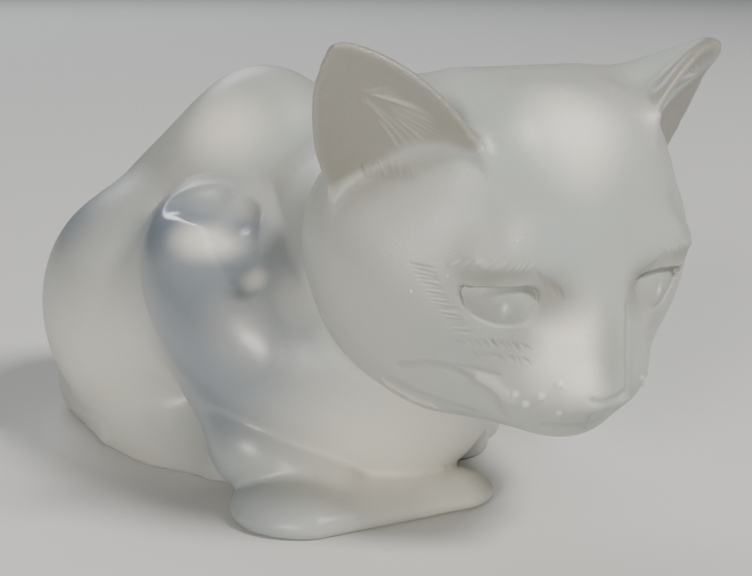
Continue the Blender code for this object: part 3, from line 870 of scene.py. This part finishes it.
def make_cat():
    cat = bpy.data.objects.new("crystal_cat", rough_mesh())
    bpy.context.scene.collection.objects.link(cat)
    for grain in GRAINS:
        reskin(cat, grain)
        settle(cat.data)
    even_out(cat)
    settle(cat.data)
    smooth_rims(cat.data, RIM_PASSES)
    split(cat.data, on_head(cat.data))
    split(cat.data, by_fine_work(cat.data))
    relaxed = points_of(cat.data)
    settle(cat.data)
    keep_rims(cat.data, relaxed)
    smooth_rims(cat.data, RIM_PASSES // 2)
    engrave(cat.data)
    grind_base(cat.data)
    return cat


# ---------------------------------------------------------------- material
def soft_step(value, low, high):
    t = np.clip((value - low) / (high - low), 0.0, 1.0)
    return t * t * (3.0 - 2.0 * t)


def in_egg(p, egg):
    """1 in the middle of an ellipsoid, falling to 0 at its skin."""
    centre, radii = egg
    far = np.linalg.norm((p - np.array(centre)) / np.array(radii), axis=1)
    return 1.0 - soft_step(far, *EGG_FADE)


def paint_shade(mesh, q):
    """Painted shade in the cuts, on the eyeballs, under the brows and in the inner corners of the
    eyes, less on the eyeballs' upper parts, with painted highlights on ridges and a painted glint
    in each eye; above 0 is dark.
    """
    lift = np.empty(len(q), np.float32)
    layer = mesh.attributes["relief_and_painted_shade"]
    layer.data.foreach_get("value", lift)
    # painted shade in the cuts and painted highlights on the raised ridges
    shade = np.clip(-RELIEF_SHADE * lift, *RELIEF_SPAN)
    u, v = eye_place(q)
    eye = soft_step(-eye_opening(u, v), *EYE_FADE) * (q[:, 1] < 0.0)
    glint = np.exp(-(u / GLINT_HALF[0]) ** 2 - ((v - GLINT_UP) / GLINT_HALF[1]) ** 2)
    painted_top_light = EYE_TOP_PAINTED_LIGHT * soft_step(v, *EYE_TOP_PAINTED_LIGHT_FROM)
    # painted shade on the eyeball, lighter on its upper part as if lit from above, with a painted
    # glint
    shade += eye * (EYE_SHADE - painted_top_light - GLINT * glint)
    sides = q.copy()
    sides[:, 0] = -np.abs(sides[:, 0])
    shade += np.max([in_egg(sides, egg) * much for egg, much in SHADED], axis=0) * (1.0 - eye)
    layer.data.foreach_set("value", shade.astype(np.float32))


def paint_finish_and_light(mesh):
    """Where the crystal is polished and takes a painted dark reflection (red), where the thin ears
    take painted shade (green), and where painted light brightens it (blue).
    """
    p = points_of(mesh)
    q = in_head(p)
    off_head = soft_step(head_field(p), *HEAD_CLEAR)
    # polish, which also carries the painted dark reflection
    polish_and_reflection = np.max([in_egg(p, egg) * much for egg, much in POLISHED_WITH_PAINTED_REFLECTION], axis=0) * off_head
    # painted shade on the thin ears
    painted_ear_shade = np.zeros(len(p))
    for ear in (RIGHT_EAR, LEFT_EAR):
        edge, e = ear_edge(q, ear)
        leaf = soft_step(-np.abs(ear_field(q, ear)), *LEAF_SKIN) * soft_step(e[:, 1], *LEAF_FOOT)
        painted_ear_shade = np.maximum(painted_ear_shade, np.where(edge < LEAF_OUTSIDE, leaf, 0.0))
    paint_shade(mesh, q)
    # layers: polish with its painted reflection, painted ear shade and painted light
    layer = mesh.color_attributes.new("finish_and_painted_light", "FLOAT_COLOR", "POINT")
    # painted light: warm bright places standing for highlights and light shining through the
    # crystal
    painted_light = np.max([in_egg(p, egg) * much for egg, much in PAINTED_LIGHT_PLACES], axis=0)
    shade = np.stack([polish_and_reflection, painted_ear_shade, painted_light, np.ones(len(p))], axis=1)
    layer.data.foreach_set("color", shade.astype(np.float32).ravel())


class Nodes:
    """Short calls for building a node tree."""

    def __init__(self, mat):
        mat.use_nodes = True
        self.tree = mat.node_tree
        self.shader = self.tree.nodes["Principled BSDF"]

    def add(self, kind, **inputs):
        node = self.tree.nodes.new(kind)
        for name, value in inputs.items():
            self.put(node, name.replace("_", " "), value)
        return node

    def put(self, node, name, value):
        if isinstance(value, bpy.types.NodeSocket):
            self.tree.links.new(value, node.inputs[name])
        else:
            node.inputs[name].default_value = value

    def attribute(self, name):
        node = self.tree.nodes.new("ShaderNodeAttribute")
        node.attribute_name = name
        return node

    def noise(self, scale, detail, place):
        node = self.add("ShaderNodeTexNoise", Vector=place, Scale=scale, Detail=detail)
        return node.outputs["Fac"]

    def band(self, value, low, high, out_low=0.0, out_high=1.0):
        node = self.add("ShaderNodeMapRange", Value=value)
        for name, number in (("From Min", low), ("From Max", high),
                             ("To Min", out_low), ("To Max", out_high)):
            node.inputs[name].default_value = number
        return node.outputs["Result"]

    def compute(self, kind, a, b):
        node = self.tree.nodes.new("ShaderNodeMath")
        node.operation = kind
        self.put(node, 0, a)
        self.put(node, 1, b)
        return node.outputs["Value"]

    def mix(self, factor, a, b):
        node = self.tree.nodes.new("ShaderNodeMix")
        node.data_type = "RGBA"
        self.put(node, 0, factor)
        self.put(node, 6, a)
        self.put(node, 7, b)
        return node.outputs[2]

    def bump(self, height, strength, distance, normal=None):
        node = self.add("ShaderNodeBump", Height=height, Strength=strength, Distance=distance)
        if normal is not None:
            self.put(node, "Normal", normal)
        return node.outputs["Normal"]


def crystal_tint(n, place, speck, finish_and_painted_light):
    """Satin tints, the painted dark reflection of polished places, the painted shade of the ears
    and painted light, then specks, then the painted shade and highlights of the cuts, ridges, eyes
    and brows.
    """
    polish_and_reflection, ear, painted_light = finish_and_painted_light
    cloud = n.noise(CLOUD_SCALE, 3.0, place)
    tint = n.mix(n.band(cloud, 0.35, 0.65), SATIN_COOL, SATIN_WARM)
    # painted dark bluish reflection where the crystal is polished
    tint = n.mix(polish_and_reflection, tint, PAINTED_REFLECTION_TINT)
    # painted shade darkens the ears
    tint = n.mix(ear, tint, EAR_PAINTED_SHADE_TINT)
    # painted light brightens the colour
    tint = n.mix(painted_light, tint, PAINTED_LIGHT_TINT)
    tint = n.mix(n.compute("MULTIPLY", speck, SPECK_MIX), tint, SPECK_AND_RIDGE_HIGHLIGHT_TINT)
    # painted shade of the cuts, eyes, brows and inner corners of the eyes
    relief_and_painted_shade = n.attribute("relief_and_painted_shade").outputs["Fac"]
    tint = n.mix(n.band(relief_and_painted_shade, 0.0, 1.0), tint, SHADE_TINT)
    # painted highlights on the raised ridges and the glints of the eyes
    return n.mix(n.band(relief_and_painted_shade, 0.0, -1.0), tint, SPECK_AND_RIDGE_HIGHLIGHT_TINT)


def sparse_specks(n, place, polish_and_reflection):
    """Tiny bubbles and grit, gathered in places and absent where the crystal is polished."""
    specks = n.add("ShaderNodeTexVoronoi", Vector=place, Scale=SPECK_SCALE)
    speck = n.band(specks.outputs["Distance"], *SPECK_EDGE)
    sparse = n.band(n.noise(SPECK_FIELD_SCALE, 2.0, place), *SPECK_FIELD)
    speck = n.compute("MULTIPLY", speck, sparse)
    return n.compute("MULTIPLY", speck, n.band(polish_and_reflection, 0.0, 0.25, 1.0, 0.0))


def satin_crystal():
    mat = bpy.data.materials.new("satin_crystal")
    n = Nodes(mat)
    place = n.add("ShaderNodeTexCoord").outputs["Object"]
    paint = n.add("ShaderNodeSeparateColor", Color=n.attribute("finish_and_painted_light").outputs["Color"])
    finish_and_painted_light = [paint.outputs[name] for name in ("Red", "Green", "Blue")]
    polish_and_reflection = finish_and_painted_light[0]
    speck = sparse_specks(n, place, polish_and_reflection)
    n.put(n.shader, "Base Color", crystal_tint(n, place, speck, finish_and_painted_light))

    patch = n.band(n.noise(PATCH_SCALE, 4.0, place), 0.3, 0.7, *PATCH_ROUGHNESS)
    satin = n.compute("ADD", patch, SATIN_ROUGHNESS)
    rough = n.compute("SUBTRACT", satin, n.compute("MULTIPLY", polish_and_reflection, POLISH_GAIN))
    n.put(n.shader, "Roughness", rough)

    grain = n.noise(ETCH_SCALE, 3.0, place)
    etch = n.bump(grain, n.band(polish_and_reflection, 0.0, 0.6, *ETCH_BUMP), ETCH_DEEP)
    ripple = n.bump(n.noise(RIPPLE_SCALE, 2.0, place), RIPPLE_BUMP, RIPPLE_DEEP, etch)
    n.put(n.shader, "Normal", n.bump(speck, SPECK_BUMP, SPECK_HIGH, ripple))

    n.put(n.shader, "IOR", CRYSTAL_IOR)
    n.put(n.shader, "Transmission Weight", TRANSMISSION)
    n.put(n.shader, "Subsurface Weight", SUBSURFACE)
    n.put(n.shader, "Subsurface Radius", SUBSURFACE_RADIUS)
    n.put(n.shader, "Subsurface Scale", SUBSURFACE_DEPTH)
    n.put(n.shader, "Coat Weight", n.band(polish_and_reflection, *COAT_FROM, 0.0, COAT))
    n.put(n.shader, "Coat Roughness", COAT_ROUGHNESS)
    return mat


# ---------------------------------------------------------------- studio
def floor_material():
    mat = bpy.data.materials.new("pale_floor")
    mat.use_nodes = True
    shader = mat.node_tree.nodes["Principled BSDF"]
    shader.inputs["Base Color"].default_value = FLOOR_TINT
    shader.inputs["Roughness"].default_value = FLOOR_ROUGHNESS
    return mat


def make_floor():
    bm = bmesh.new()
    bmesh.ops.create_grid(bm, x_segments=1, y_segments=1, size=FLOOR_HALF)
    mesh = bpy.data.meshes.new("floor")
    bm.to_mesh(mesh)
    bm.free()
    floor = bpy.data.objects.new("floor", mesh)
    bpy.context.scene.collection.objects.link(floor)
    mesh.materials.append(floor_material())


def aim(obj, place, target):
    obj.location = place
    obj.rotation_euler = (Vector(target) - Vector(place)).to_track_quat("-Z", "Y").to_euler()


def add_light(name, place, size, power, colour):
    data = bpy.data.lights.new(name, "AREA")
    data.shape = "ELLIPSE"
    data.size, data.size_y = size
    data.energy = power
    data.color = colour
    lamp = bpy.data.objects.new(name, data)
    bpy.context.scene.collection.objects.link(lamp)
    aim(lamp, place, (0.0, 0.0, LIT_HEIGHT))


def set_world():
    world = bpy.data.worlds.new("studio")
    world.use_nodes = True
    back = world.node_tree.nodes["Background"]
    back.inputs["Color"].default_value = WORLD_COLOUR
    back.inputs["Strength"].default_value = WORLD_STRENGTH
    bpy.context.scene.world = world


def sculpt_to_room(point, origin):
    return Vector((np.array(point, float) - origin) * (LENGTH / SCULPT_LENGTH))


def make_camera(origin):
    az, el = math.radians(CAMERA_AZIMUTH), math.radians(CAMERA_ELEVATION)
    away = np.array((math.cos(el) * math.sin(az), -math.cos(el) * math.cos(az), math.sin(el)))
    target = np.array(CAMERA_TARGET)
    data = bpy.data.cameras.new("camera")
    data.sensor_width = CAMERA_SENSOR
    data.lens = CAMERA_LENS
    data.clip_start = CAMERA_NEAR
    camera = bpy.data.objects.new("camera", data)
    bpy.context.scene.collection.objects.link(camera)
    place = sculpt_to_room(target + away * CAMERA_DISTANCE, origin)
    aim(camera, place, sculpt_to_room(target, origin))
    bpy.context.scene.camera = camera


def build():
    cat = make_cat()
    paint_finish_and_light(cat.data)
    origin = to_real_size(cat.data)
    cat.data.shade_smooth()
    cat.data.materials.clear()
    cat.data.materials.append(satin_crystal())
    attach(cat, "root")
    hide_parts("glass_cat")
    make_floor()
    set_world()
    for light in LIGHTS:
        add_light(*light)
    make_camera(origin)


build()
